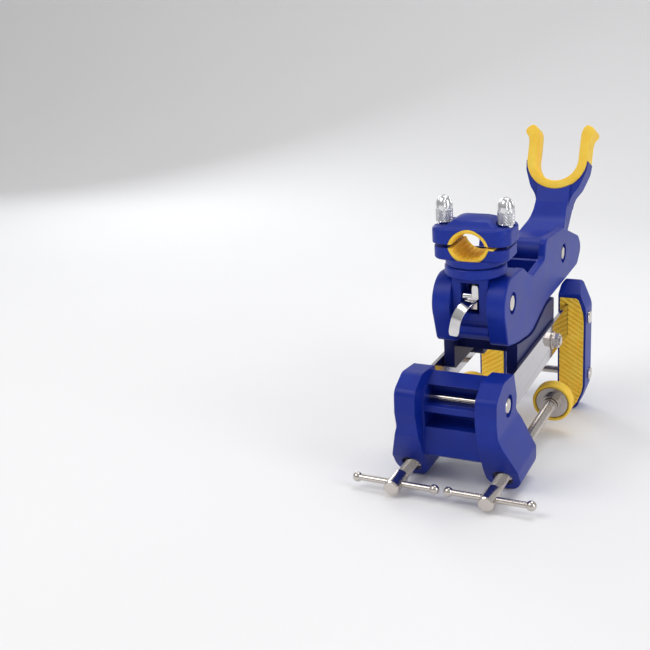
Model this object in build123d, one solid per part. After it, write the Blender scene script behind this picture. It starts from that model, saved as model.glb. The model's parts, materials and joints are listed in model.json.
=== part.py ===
from build123d import *
import os
from math import atan2, cos, degrees, radians, sin, tan

# A clamp-on fishing rod holder. Two M10 screws in a moulded front block press swivel pads
# towards two rear jaw legs; two flat steel bars tie the block to the legs. A frame on the
# bars carries a tilting, swivelling rod clamp in front and a folding U cradle behind.
# Clamp frame: X across, Y from the screw handles to the rear, Z square to the bars, with the
# screw axes at Z = 0 and Y = 0 near the block's front. The whole is stood on its feet last.

os.makedirs("parts", exist_ok=True)

# ---- fits
run_fit = 0.05          # radial clearance of a pin or screw that turns in its hole
seat_fit = 0.05         # gap round a piece that is fixed in its seat
body_gap = 0.5          # gap between faces that move past each other

# ---- side bars
bar_thick = 3.0
bar_high = 30.0
bar_outer = 35.0        # half the width over the two bars
bar_mid_z = 55.0
bar_front = -24.0       # front ends, hidden in the block
bar_cover = 6.0         # material left behind the bar's end in a jaw leg

# ---- clamp screws, handles and pads
screw_x = 38.0
screw_r = 5.0
hub_r = 6.3
hub_front = -56.0
hub_back = -34.0
handle_y = -46.0
handle_r = 2.5
handle_half = 32.3      # from the middle of a handle to the centre of its end ball
ball_r = 4.0
pad_front = 131.0       # front of the pad's steel hub, as the screws are set
dish_r = 15.0
dish_thick = 7.0
dish_hub_r = 8.5
dish_hub_long = 6.0
boot_wall = 2.5
boot_floor = 4.0
boot_lip = 1.0

# ---- front block
cheek_in = 24.0
cheek_out = 41.0
block_top = 82.0
block_front = -35.0
block_back = 17.0
boss_r = 14.0
boss_front = -3.0
boss_back = 34.0
bush_r = 8.0
tie_r = 2.8             # cross rod through both cheeks and both bars
tie_y = -3.0
tie_z = 58.0
rivet_head_r = 6.0
rivet_head = 2.0
web_face = -19.0
web_floor = 11.0
pocket_low = 39.0       # recess in the web, with the cross rod at its back
pocket_top = 71.0
rib_low = 51.0
rib_top = 57.0
rib_deep = 8.0
stop_y = 23.0
stop_r = 5.0

# ---- rear jaw legs
jaw_face = 205.0        # front of the ribbed pads
jaw_in = 25.5
jaw_out = 51.5
jaw_deep = 24.0
jaw_top = 88.0
jaw_drop = 36.0         # how far the tips reach below the screw axes
jaw_pad_thick = 5.0
jaw_pad_proud = 2.0
jaw_rim = 2.0
jaw_rod_r = 3.5
jaw_rod_z = -4.0
jaw_rivet_r = 3.0

# ---- upper frame
arm_out = 30.0
arm_thick = 6.0
lobe_in = 15.0
lobe_r = 22.5
head_y = 46.0           # the tilt pin and the swivel axis
pin_z = 124.0
tilt_pin_r = 4.0
arm_low = 80.0          # lowest edge of an arm
arm_rear = 278.0
hinge_y = 207.0         # cradle hinge
hinge_z = 119.0
hinge_r = 4.0
frame_floor = 7.0
saddle_half = 31.3
saddle_front = 53.0
saddle_back = 168.0
saddle_low = 43.0
saddle_wall = 9.0       # the walls that stand along the inner faces of the bars
saddle_step = 59.0      # underside of the walls in front of the bolt lugs
lug_half = 22.0
bridge_long = 34.0
deck_low = 76.0
frame_bolt_y = 150.0
frame_bolt_r = 4.0
nut_thick = 5.0
nut_across = 12.0
washer_thick = 1.2

# ---- head post and safety lever
post_front = 30.0
post_back = 62.0
post_low = 94.0
collar_r = 24.5
collar_low = 147.6
collar_high = 8.0
window_half = 7.5
window_low = 118.0
window_top = 143.0
window_deep = 11.0
lever_pin_r = 1.5
lever_y = 35.0
lever_z = 131.0
lever_barrel_r = 3.6
lever_plate = 2.4
lever_wide = 8.5
lever_tip_z = 103.0

# ---- rod clamp
grip_r = 14.3           # radius of each liner half
grip_shift = 3.3        # how far each half's centre lies beyond the seam
liner_wall = 2.8
grip_floor = 2.1        # left under the lower liner, above the washer
stud_web = 7.9          # from the outside of the liner's round to a stud's axis
ear_round = 7.0         # from a stud's axis to the end of the ear
cap_wall = 0.7          # left over the upper liner at the cap's front
head_deep = 38.0
head_low = 156.7
neck_high = 4.5
swivel_r = 4.0
swivel_cover = 0.6      # skin left between the swivel bolt and the lower liner
seam_gap = 3.0
cap_crown = 7.5
stud_r = 3.0
thumb_r = 6.7
thumb_high = 23.0

# ---- cradle
cradle_lean = 24.0      # degrees from upright
cradle_y = 298.0        # centre of the U at its front face
cradle_z = 187.0
cradle_deep = 24.0
cradle_r = 21.0         # inside the liner
cradle_liner = 3.5
cradle_rim = 8.5        # width of the liner's front lip
cradle_lip = 2.0
cradle_out = 30.5
cradle_foot = 31.0      # from the U's centre down to the top of the blade
prong_high = 29.0
prong_core = 3.0
neck_half = 16.0
blade_half = 21.0
cradle_hub_r = 13.0

# ---- worked out
bar_in = bar_outer - bar_thick
bar_low = bar_mid_z - bar_high / 2
bar_high_z = bar_mid_z + bar_high / 2
jaw_front = jaw_face + jaw_pad_proud
jaw_back = jaw_front + jaw_deep
bar_back = jaw_back - bar_cover
jaw_rivet_y = (jaw_front + bar_back) / 2 + 1.5
jaw_rod_y = jaw_back - jaw_deep / 3
pad_y = pad_front + dish_hub_long
arm_in = arm_out - arm_thick
liner_out = grip_r + liner_wall
seam_z = head_low + grip_floor + liner_out - grip_shift
seam_low = seam_z - seam_gap / 2
swivel_top = head_low + grip_floor - swivel_cover
seam_top = seam_z + seam_gap / 2
stud_x = liner_out + stud_web
head_half = stud_x + ear_round
cap_high = liner_out - grip_shift - seam_gap / 2 + cap_wall
stand_angle = degrees(atan2(jaw_drop - boss_r, jaw_front - boss_front))

parts = {}


def slab(x0, x1, y0, y1, z0, z1):
    size = (x1 - x0, y1 - y0, z1 - z0)
    return Pos((x0 + x1) / 2, (y0 + y1) / 2, (z0 + z1) / 2) * Box(*size)


def rodX(r, x0, x1, y, z):
    return Pos((x0 + x1) / 2, y, z) * Rot(0, 90, 0) * Cylinder(r, x1 - x0)


def rodY(r, y0, y1, x, z):
    return Pos(x, (y0 + y1) / 2, z) * Rot(90, 0, 0) * Cylinder(r, y1 - y0)


def rodZ(r, z0, z1, x, y):
    return Pos(x, y, (z0 + z1) / 2) * Cylinder(r, z1 - z0)


def sideFace(points, radii):
    """A closed outline with each corner rounded, as far as its two sides leave room."""
    corners = [Vector(*p) for p in points]
    arcs = []
    for i, corner in enumerate(corners):
        back = corners[i - 1] - corner
        ahead = corners[(i + 1) % len(corners)] - corner
        half = radians(back.get_angle(ahead)) / 2
        reach = min(radii[i] / tan(half), 0.49 * back.length, 0.49 * ahead.length)
        r = reach * tan(half)
        middle = (back.normalized() + ahead.normalized()).normalized()
        arcs.append((corner + back.normalized() * reach,
                     corner + middle * (r / sin(half) - r),
                     corner + ahead.normalized() * reach))
    edges = []
    for i, (start, middle, end) in enumerate(arcs):
        edges.append(Edge.make_three_point_arc(start, middle, end))
        edges.append(Edge.make_line(end, arcs[(i + 1) % len(arcs)][0]))
    return make_face(Wire(edges))


def plateX(points, radii, x0, x1):
    """A side outline of (Y, Z) points between two X planes."""
    return extrude(Plane.YZ.offset(x0) * sideFace(points, radii), amount=x1 - x0, dir=(1, 0, 0))


def plateY(points, radii, y0, y1):
    """A front outline of (X, Z) points between two Y planes."""
    return extrude(Plane.XZ.offset(-y0) * sideFace(points, radii), amount=y1 - y0, dir=(0, 1, 0))


def archFace(half, middle, low, high):
    """A low arch over a straight base, 2 * half wide."""
    arc = Edge.make_three_point_arc((middle + half, low), (middle, high), (middle - half, low))
    return make_face(Wire([arc, Edge.make_line((middle - half, low), (middle + half, low))]))


def hexX(across, x0, x1, y, z):
    head = extrude(RegularPolygon(across / 2, 6, major_radius=False), amount=x1 - x0)
    return Pos(x0, y, z) * Rot(0, 90, 0) * head


def mirrored(shape):
    return mirror(shape, about=Plane.YZ)


def pair(name, shape):
    parts[name + "_right"] = shape
    parts[name + "_left"] = mirrored(shape)


# ---- front block: two cheeks and the web between them, with bushes and the cross rod

def frontBlock():
    boss_out = screw_x + boss_r
    outline = [
        (block_back - 6, block_top - 3), (-16, block_top), (block_front + 1, block_top - 9),
        (block_front, bar_mid_z), (block_front + 5, bar_low - 6), (boss_front - 14, 8),
        (boss_front, -boss_r), (boss_back, -boss_r), (boss_back, 8),
        (block_back + 7, bar_low - 2), (block_back - 2, bar_low + 9),
        (block_back + 1, bar_mid_z + 3), (block_back - 4, bar_high_z + 2)]
    side = plateX(outline, [3, 12, 8, 14, 14, 10, 5, 8, 10, 12, 4, 5, 5], cheek_in, boss_out)
    flare = [(cheek_in, 0), (cheek_in, block_top + 5), (cheek_out, block_top + 5),
             (cheek_out, bar_low + 2), (boss_out, 9), (boss_out, 0)]
    front = Plane.XZ * (sideFace(flare, [0.5, 1, 1, 16, 10, 0.5])
                        + Pos(screw_x, 0) * Circle(boss_r))
    cheek = side & extrude(front, amount=boss_back + 100, both=True)
    cheek -= rodX(rivet_head_r + 3, cheek_out - rivet_head - 0.4, cheek_out + 5, tie_y, tie_z)
    slot = slab(bar_in - seat_fit, bar_outer + seat_fit, bar_front - seat_fit, boss_back + 1,
                bar_low - seat_fit, bar_high_z + seat_fit)
    cheek -= slot + rodY(bush_r + seat_fit, boss_front - 20, boss_back + 1, screw_x, 0)
    cheek -= rodX(tie_r + seat_fit, cheek_in - 1, cheek_out, tie_y, tie_z)
    web_top = block_top - 4
    web = plateX([(block_back - 8, web_top), (web_face + 4, web_top - 9),
                  (web_face, web_top - 15), (web_face, web_floor + 4),
                  (web_face + 6, web_floor), (block_back - 9, web_floor)],
                 [3, 4, 5, 4, 4, 4], -cheek_in - 0.5, cheek_in + 0.5)
    pocket = cheek_in - 1.5
    web -= slab(-pocket, pocket, web_face - 1, tie_y + tie_r + 3, pocket_low, pocket_top)
    rib = slab(-pocket - 1, pocket + 1, web_face, web_face + rib_deep, rib_low, rib_top)
    web += fillet(rib.edges().filter_by(Axis.X), 1.5)
    web -= rodX(tie_r + seat_fit, -cheek_in - 1, cheek_in + 1, tie_y, tie_z)
    return cheek + mirrored(cheek) + web


def bush():
    ring = rodY(bush_r, boss_front, boss_back, screw_x, 0)
    return ring - rodY(screw_r + run_fit, boss_front - 1, boss_back + 1, screw_x, 0)


def crossRod(r, half, y, z):
    rod = rodX(r, -half, half, y, z)
    head = rodX(rivet_head_r, half - rivet_head, half, y, z)
    head = chamfer(head.edges().filter_by(GeomType.CIRCLE).sort_by(Axis.X)[-1], 0.7)
    return rod + head + mirrored(head)


parts["front_block"] = frontBlock()
pair("screw_bush", bush())
parts["block_cross_rod"] = crossRod(tie_r, cheek_out - 0.3, tie_y, tie_z)

# ---- side bars and the stop rivets behind the block


def sideBar():
    bar = slab(bar_in, bar_outer, bar_front, bar_back, bar_low, bar_high_z)
    holes = rodX(tie_r + seat_fit, bar_in - 1, bar_outer + 1, tie_y, tie_z)
    holes += rodX(frame_bolt_r + seat_fit, bar_in - 1, bar_outer + 1, frame_bolt_y, bar_mid_z)
    holes += rodX(jaw_rivet_r + seat_fit, bar_in - 1, bar_outer + 1, jaw_rivet_y, bar_mid_z)
    holes += rodX(stop_r / 2 + seat_fit, bar_in - 1, bar_outer + 1, stop_y, tie_z)
    return bar - holes


def stopRivet():
    shank = rodX(stop_r / 2, bar_in, bar_outer, stop_y, tie_z)
    return shank + rodX(stop_r, bar_outer, bar_outer + 1.6, stop_y, tie_z)


pair("side_bar", sideBar())
pair("stop_rivet", stopRivet())

# ---- rear jaw legs with their ribbed pads


def legOutline(inset):
    i = inset
    return [(jaw_in + i, jaw_top - i), (jaw_in + i, -12), (jaw_in + 7 + i, -jaw_drop + i),
            (jaw_out - 8 - i, -jaw_drop + i), (jaw_out - i, -14), (jaw_out - i, jaw_top - 22),
            (jaw_out - 9 - i, jaw_top - i)]


def jawLeg():
    shell = plateY(legOutline(0), [4, 30, 7, 10, 25, 20, 6], jaw_front, jaw_back)
    roof = [(jaw_front, -jaw_drop - 1), (jaw_back, -jaw_drop - 1), (jaw_back, jaw_top),
            (jaw_back - 8, jaw_top), (jaw_front, jaw_top - 9)]
    shell &= plateX(roof, [0.5, 5, 5, 8, 3], jaw_in - 1, jaw_out + 1)
    shell -= padBlank(seat_fit, jaw_front - 1, jaw_face + jaw_pad_thick + seat_fit)
    shell -= slab(bar_in - seat_fit, bar_outer + seat_fit, jaw_face - 1, bar_back + seat_fit,
                  bar_low - seat_fit, bar_high_z + seat_fit)
    shell -= rodX(jaw_rivet_r + seat_fit, jaw_in - 1, jaw_out + 1, jaw_rivet_y, bar_mid_z)
    return shell - rodX(jaw_rod_r + seat_fit, jaw_in - 1, jaw_out + 1, jaw_rod_y, jaw_rod_z)


def padBlank(grow, y0, y1):
    top = jaw_top - 12
    outline = [(x, min(z, top)) for x, z in legOutline(jaw_rim - grow)]
    outline[0] = (outline[0][0], top)
    outline[-1] = (outline[-1][0], top)
    outline[-2] = (outline[-2][0], top - 14)
    return plateY(outline, [2, 28, 5, 8, 23, 10, 5], y0, y1)


def jawPad():
    pad = padBlank(0, jaw_face, jaw_face + jaw_pad_thick)
    return pad - slab(bar_in - 0.2, bar_outer + 0.2, jaw_face - 1, jaw_front + jaw_pad_thick,
                      bar_low - 0.2, bar_high_z + 0.2)


def jawRivet():
    shank = rodX(jaw_rivet_r, jaw_in, jaw_out, jaw_rivet_y, bar_mid_z)
    head = rodX(rivet_head_r, jaw_out, jaw_out + rivet_head, jaw_rivet_y, bar_mid_z)
    head = chamfer(head.edges().filter_by(GeomType.CIRCLE).sort_by(Axis.X)[-1], 0.7)
    return shank + head


pair("jaw_leg", jawLeg())
pair("jaw_pad", jawPad())
pair("jaw_rivet", jawRivet())
parts["jaw_cross_rod"] = crossRod(jaw_rod_r, jaw_out + rivet_head, jaw_rod_y, jaw_rod_z)

# ---- clamp screws, sliding handles and swivel pads


def clampScrew():
    screw = rodY(screw_r, hub_back, pad_y + 3, screw_x, 0)
    hub = rodY(hub_r, hub_front, hub_back, screw_x, 0)
    screw += chamfer(hub.edges().filter_by(GeomType.CIRCLE), 1.0)
    groove = rodY(screw_r + 1, pad_front - 2.4, pad_front - 1.0, screw_x, 0)
    groove -= rodY(screw_r - 0.8, pad_front - 3, pad_front, screw_x, 0)
    screw -= groove
    return screw - rodX(handle_r + run_fit, screw_x - 10, screw_x + 10, handle_y, 0)


def handle():
    outline = Rectangle(2 * handle_half, 2 * handle_r)
    for end in (-1, 1):
        outline += Pos(end * handle_half, 0) * Circle(ball_r)
    half = outline & Pos(0, ball_r) * Rectangle(3 * handle_half, 2 * ball_r)
    return Pos(screw_x, handle_y, 0) * revolve(half, Axis.X, 360)


def padDish():
    dish = rodY(dish_r, pad_y, pad_y + dish_thick, screw_x, 0)
    dish = chamfer(dish.edges().filter_by(GeomType.CIRCLE).sort_by(Axis.Y)[0], 1.0)
    dish += rodY(dish_hub_r, pad_front, pad_y, screw_x, 0)
    return dish - rodY(screw_r + run_fit, pad_front - 1, pad_y + 3 + run_fit, screw_x, 0)


def padBoot():
    back = pad_y + dish_thick + boot_floor
    boot = rodY(dish_r + boot_wall, pad_y - boot_lip, back, screw_x, 0)
    boot = fillet(boot.edges().filter_by(GeomType.CIRCLE), 1.2)
    return boot - rodY(dish_r + seat_fit, pad_y - boot_lip - 1, back - boot_floor, screw_x, 0)


def padClip():
    ring = rodY(screw_r + 1.8, pad_front - 2.3, pad_front - 1.1, screw_x, 0)
    return ring - rodY(screw_r - 0.8, pad_front - 3, pad_front, screw_x, 0)


pair("clamp_screw", clampScrew())
pair("screw_handle", handle())
pair("pad_dish", padDish())
pair("pad_boot", padBoot())
pair("pad_clip", padClip())

# ---- upper frame: two arms on a floor, over the saddle between the bars


def armSide(x0, x1):
    outline = [
        (head_y - 13, arm_low + 12), (head_y + 14, arm_low + 5), (head_y + 54, arm_low - 1),
        (frame_bolt_y - 5, arm_low + 11), (arm_rear - 16, arm_low + 12),
        (arm_rear, arm_low + 26), (arm_rear - 12, arm_low + 40), (hinge_y, hinge_z + 24),
        (frame_bolt_y - 4, hinge_z + 30), (frame_bolt_y - 9, hinge_z + 13),
        (head_y + 55, hinge_z + 10), (head_y + 30, pin_z + lobe_r - 2),
        (head_y, pin_z + lobe_r), (head_y - 16, pin_z), (head_y - lobe_r + 2, pin_z - 9)]
    radii = [7, 40, 60, 40, 12, 9, 14, 30, 7, 5, 18, 20, 2, 2, 5]
    return plateX(outline, radii, x0, x1) + rodX(lobe_r, x0, x1, head_y, pin_z)


def frameBody():
    arm = armSide(arm_in, arm_out)
    front = armSide(lobe_in, arm_out) & slab(0, 60, 0, head_y + 26, 0, 200)
    arm = fillet((arm + front).edges().filter_by(Plane.YZ).filter_by(
        lambda e: e.center().X > arm_out - 0.1), 1.5)
    floor = plateX([(saddle_front + 8, arm_low + 8), (head_y + 56, arm_low + 2),
                    (frame_bolt_y - 5, arm_low + 13), (saddle_back + 6, arm_low + 14),
                    (saddle_back + 6, arm_low + 14 + frame_floor),
                    (frame_bolt_y - 7, arm_low + 13 + frame_floor),
                    (head_y + 56, arm_low + 2 + frame_floor),
                    (saddle_front + 8, arm_low + 8 + frame_floor)],
                   [1, 30, 30, 1, 3, 30, 30, 3], -arm_in - 0.5, arm_in + 0.5)
    wall = slab(-arm_in - 0.5, arm_in + 0.5, frame_bolt_y + 8, frame_bolt_y + 13,
                arm_low + 16, hinge_z + 6)
    body = arm + mirrored(arm) + floor + wall
    seat = rivet_head_r + 3
    for y, z in ((head_y, pin_z), (hinge_y, hinge_z)):
        body -= rodX(tilt_pin_r + run_fit, -arm_out - 1, arm_out + 1, y, z)
        for end in (-1, 1):
            x = end * (arm_out - rivet_head / 2 - 0.2)
            body -= rodX(seat, x - rivet_head / 2 - 0.3, x + rivet_head / 2 + 0.3, y, z)
    return body


def saddle():
    wall = slab(saddle_half - saddle_wall, saddle_half, saddle_front, saddle_back, saddle_step,
                arm_low + 10)
    lug = slab(saddle_half - saddle_wall, saddle_half, frame_bolt_y - lug_half,
               saddle_back, saddle_low, arm_low)
    wall = fillet((wall + lug).edges().filter_by(Axis.X), 3)
    bridge = slab(-saddle_half + 2, saddle_half - 2, saddle_back - bridge_long, saddle_back - 2,
                  saddle_step, arm_low + 10)
    deck = slab(-arm_in + 1, arm_in - 1, saddle_front + 9, saddle_back - 2, deck_low,
                arm_low + 16)
    block = wall + mirrored(wall) + bridge + deck
    under = armSide(-arm_out - 5, arm_out + 5)
    block = block - Pos(0, 0, -0.3) * under - under
    return block - rodX(frame_bolt_r + seat_fit, -40, 40, frame_bolt_y, bar_mid_z)


def through(r, half, y, z):
    """A cross bolt: hexagon head on the left, nut on the right."""
    reach = half + washer_thick
    bolt = rodX(r, -reach, reach + nut_thick + 1.5, y, z)
    bolt += hexX(nut_across, -reach - nut_thick, -reach, y, z)
    nut = hexX(nut_across, reach, reach + nut_thick, y, z)
    nut -= rodX(r + seat_fit, 0, reach + nut_thick + 3, y, z)
    washer = rodX(nut_across / 2 + 2, half, reach, y, z)
    washer -= rodX(r + seat_fit, half - 1, reach + 1, y, z)
    return bolt, nut, washer


def tiltPin():
    end = arm_out - 0.5
    pin = rodX(tilt_pin_r, -end, end, head_y, pin_z)
    head = rodX(rivet_head_r, end - rivet_head + 0.3, end, head_y, pin_z)
    return pin + head + mirrored(head)


parts["frame_body"] = frameBody()
parts["saddle"] = saddle()
bolt, nut, washer = through(frame_bolt_r, bar_outer, frame_bolt_y, bar_mid_z)
parts["frame_bolt"] = bolt
parts["frame_nut"] = nut
parts["frame_washer_right"] = washer
parts["frame_washer_left"] = mirrored(washer)
parts["tilt_pin"] = tiltPin()

# ---- head post with its turntable collar, window and safety lever


def post():
    half = lobe_in - body_gap
    body = plateX([(post_front, collar_low + 1), (post_front, post_low + 7),
                   (post_front + 6, post_low), (post_back - 6, post_low + 1),
                   (post_back, post_low + 14), (post_back, collar_low + 1)],
                  [0.5, 5, 4, 6, 6, 0.5], -half, half)
    collar = rodZ(collar_r, collar_low, collar_low + collar_high, 0, head_y)
    body += chamfer(collar.edges().filter_by(GeomType.CIRCLE), 1.0)
    body -= slab(-window_half, window_half, post_front - 1, post_front + window_deep,
                 window_low, window_top)
    body -= slab(-half - 1, half + 1, post_front - 1, post_front + 3, window_low - 11,
                 window_low - 6)
    body -= rodX(tilt_pin_r + run_fit, -half - 1, half + 1, head_y, pin_z)
    body -= rodX(lever_pin_r + seat_fit, -half - 1, half + 1, lever_y, lever_z)
    body -= rodZ(swivel_r + run_fit, pin_z + tilt_pin_r + 3, 200, 0, head_y)
    return body - rodZ(swivel_r + 2.8, window_top - 9, window_top - 4, 0, head_y)


def swivelBolt():
    low = window_top - 4
    bolt = rodZ(swivel_r, low - 2, swivel_top, 0, head_y)
    return bolt + rodZ(swivel_r + 2.3, low - 4.5, low - 0.4, 0, head_y)


def swivelWasher():
    top = head_low - 0.3
    ring = rodZ(collar_r - 5, collar_low + collar_high, top, 0, head_y)
    return ring - rodZ(swivel_r + 0.4, collar_low, top + 1, 0, head_y)


def leverPlate():
    front = post_front - 4 - lever_plate
    left = -lever_wide - 4.5
    arm = slab(-window_half + 0.8, window_half - 0.8, front, lever_y, lever_z - 2,
               lever_z - 2 + lever_plate)
    bridge = slab(left, window_half - 0.8, front, front + lever_plate, lever_z - 9,
                  lever_z - 2 + lever_plate)
    blade = plateX([(front, lever_z), (front - 4, lever_z - 12), (front - 5, lever_tip_z),
                    (front - 5 + lever_plate, lever_tip_z),
                    (front - 4 + lever_plate, lever_z - 12), (front + lever_plate, lever_z)],
                   [0.5, 12, 1.0, 1.0, 12, 0.5], left, left + lever_wide)
    barrel = rodX(lever_barrel_r, -window_half + 0.5, window_half - 0.5, lever_y, lever_z)
    tongue = slab(0.8, window_half - 0.8, lever_y - lever_barrel_r,
                  lever_y - lever_barrel_r + lever_plate, lever_z, window_top - 1.5)
    lever = arm + bridge + blade + barrel + tongue
    return lever - rodX(lever_pin_r + run_fit, -30, 30, lever_y, lever_z)


def leverPawl():
    pawl = slab(-window_half + 2.5, window_half - 2.5, lever_y - 2.5, lever_y + 2.5,
                lever_z - 10, lever_z - lever_barrel_r + 0.8)
    return pawl - rodX(lever_barrel_r, -window_half, window_half, lever_y, lever_z)


def leverPin():
    return rodX(lever_pin_r, -lobe_in + 1.0, lobe_in - 1.0, lever_y, lever_z)


parts["head_post"] = post()
parts["swivel_bolt"] = swivelBolt()
parts["swivel_washer"] = swivelWasher()
parts["safety_lever"] = leverPlate()
parts["lever_pawl"] = leverPawl()
parts["lever_pin"] = leverPin()

# ---- rod clamp: lower half, cap, two liners, studs and thumb nuts


def headOutline(half, z0, z1):
    face = RectangleRounded(2 * half, head_deep, 11)
    return Pos(0, head_y, z0) * extrude(face, amount=z1 - z0)


def boreTool(r, side):
    """The round trough of one half; side is 1 for the cap and -1 for the lower half."""
    front = head_y - head_deep / 2
    z = seam_z - side * grip_shift
    return rodY(r, front - 2, front + head_deep + 2, 0, z)


def headLower():
    body = headOutline(head_half - 1.5, head_low + neck_high, seam_low)
    body = fillet(body.edges().group_by(Axis.Z)[0], 2.0)
    body += rodZ(collar_r - 0.8, head_low, head_low + neck_high + 1, 0, head_y)
    body -= boreTool(liner_out + seat_fit, -1)
    body -= rodZ(swivel_r + seat_fit, head_low - 1, swivel_top + seat_fit, 0, head_y)
    for end in (-1, 1):
        body -= rodZ(stud_r + seat_fit, seam_low - 9, seam_low + 1, end * stud_x, head_y)
    return body


def headCap():
    top = seam_top + cap_high
    cap = headOutline(head_half, seam_top, top)
    cap = fillet(cap.edges().group_by(Axis.Z)[-1], 3.0)
    half, deep = stud_x - 1, head_deep / 2 - 0.5
    crown = extrude(Plane.XZ.offset(-head_y) * archFace(half, 0, top - 3, top + cap_crown),
                    amount=deep, both=True)
    crown &= extrude(Plane.YZ * archFace(deep, head_y, top - 3, top + cap_crown),
                     amount=half, both=True)
    cap += crown
    cap -= boreTool(liner_out + seat_fit, 1)
    for end in (-1, 1):
        cap -= rodZ(stud_r + 0.4, seam_top - 1, top + 1, end * stud_x, head_y)
        cap -= rodZ(thumb_r + 1.0, top - 1.5, top + 5, end * stud_x, head_y)
    return cap


def liner(side):
    front = head_y - head_deep / 2
    z = seam_z - side * grip_shift
    ring = rodY(liner_out, front, front + head_deep, 0, z)
    ring -= rodY(grip_r, front - 1, front + head_deep + 1, 0, z)
    low, high = (seam_top, 300) if side > 0 else (0, seam_low)
    ring &= slab(-60, 60, front - 1, front + head_deep + 1, low, high)
    if side < 0:
        inner = (grip_r ** 2 - (grip_shift + seam_gap / 2) ** 2) ** 0.5
        ring += slab(inner + 0.6, stud_x - stud_r - 1, front, front + head_deep, seam_low,
                     seam_low + 1.4)
    return ring


def stud():
    top = seam_top + cap_high - 1.5
    return rodZ(stud_r, seam_low - 8.8, top + thumb_high - 6, stud_x, head_y)


def thumbNut():
    low = seam_top + cap_high - 1.5
    body = rodZ(thumb_r, low + 2.5, low + thumb_high, stud_x, head_y)
    body = fillet(body.edges().filter_by(GeomType.CIRCLE).sort_by(Axis.Z)[-1], 5.2)
    body = chamfer(body.edges().filter_by(GeomType.CIRCLE).sort_by(Axis.Z)[0], 0.8)
    body += rodZ(thumb_r - 1.2, low, low + 3, stud_x, head_y)
    for turn in range(6):
        angle = radians(60 * turn + 30)
        x = stud_x + (thumb_r + 1.0) * cos(angle)
        y = head_y + (thumb_r + 1.0) * sin(angle)
        body -= rodZ(2.0, low + thumb_high - 8, low + thumb_high + 1, x, y)
    return body - rodZ(stud_r + run_fit, low - 1, low + thumb_high - 4, stud_x, head_y)


parts["clamp_lower"] = headLower()
parts["clamp_cap"] = headCap()
parts["liner_lower"] = liner(-1)
parts["liner_upper"] = liner(1)
pair("cap_stud", stud())
pair("thumb_nut", thumbNut())

# ---- rear cradle: a leaning U on a cranked blade, hinged between the arms


def leaning(shape):
    """Place a shape drawn about the U's centre, front face on Y = 0, into the frame."""
    return Pos(0, cradle_y, cradle_z) * Rot(-cradle_lean, 0, 0) * shape


def uOutline(r, x, high):
    """A U outline in the XZ plane: half ring of radius r, straight sides at x up to high."""
    low = Circle(r) - Pos(0, r) * Rectangle(2 * r, 2 * r)
    return low + Pos(0, high / 2) * Rectangle(2 * x, high)


def uSolid(outer, inner, y0, y1):
    face = outer - inner
    return extrude(Plane.XZ.offset(-y0) * face, amount=y1 - y0, dir=(0, 1, 0))


def cradleBody():
    seat = cradle_r + cradle_liner
    core = seat + prong_core
    horn = [(-cradle_out, -1), (-cradle_out + 0.8, -11), (-neck_half - 8, -27),
            (-neck_half - 1, -cradle_foot - 6), (-neck_half, -cradle_foot - 17),
            (neck_half, -cradle_foot - 17), (neck_half + 1, -cradle_foot - 6),
            (neck_half + 8, -27), (cradle_out - 0.8, -11), (cradle_out, -1)]
    bowl = sideFace(horn, [1, 14, 20, 25, 4, 4, 25, 20, 14, 1])
    ring = uSolid(bowl, Circle(seat), cradle_lip, cradle_deep - cradle_lip)
    prongs = uSolid(uOutline(core, core, prong_high - 6), uOutline(seat, seat, prong_high),
                    cradle_lip + 3, cradle_deep - cradle_lip - 3)
    top = leaning(ring + prongs)
    hub = rodX(cradle_hub_r, -arm_in + body_gap, arm_in - body_gap, hinge_y, hinge_z)
    lean = radians(cradle_lean)
    foot_y = cradle_y - cradle_foot * sin(lean)
    foot_z = cradle_z - cradle_foot * cos(lean)
    side = plateX([(hinge_y - 2, hinge_z + cradle_hub_r - 1), (hinge_y + 34, hinge_z + 9),
                   (hinge_y + 56, hinge_z + 16), (foot_y - 6, foot_z - 10),
                   (foot_y + 4, foot_z + 8), (foot_y + 22, foot_z),
                   (foot_y + 17, foot_z - 18), (hinge_y + 62, hinge_z - 8),
                   (hinge_y, hinge_z - cradle_hub_r + 1)],
                  [2, 30, 30, 10, 1, 3, 16, 40, 4], -cradle_out, cradle_out)
    crown = foot_z + 8
    width = [(-blade_half, hinge_y - 20), (-blade_half, hinge_y + 38),
             (-neck_half, foot_y - 14), (-neck_half, foot_y + 30),
             (neck_half, foot_y + 30), (neck_half, foot_y - 14),
             (blade_half, hinge_y + 38), (blade_half, hinge_y - 20)]
    plan = sideFace(width, [1, 20, 20, 1, 1, 20, 20, 1])
    blade = side & extrude(Pos(0, 0, crown - 200) * plan, amount=220, dir=(0, 0, 1))
    lip = cradle_r + cradle_rim + seat_fit
    keep = rodY(seat, -40, 60, 0, 0) + slab(-seat, seat, -40, 60, 0, 80)
    keep += rodY(lip, -40, cradle_lip, 0, 0) + rodY(lip, cradle_deep - cradle_lip, 60, 0, 0)
    keep = leaning(keep)
    body = top + (blade - keep) + hub
    return body - rodX(hinge_r + run_fit, -60, 60, hinge_y, hinge_z)


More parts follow.
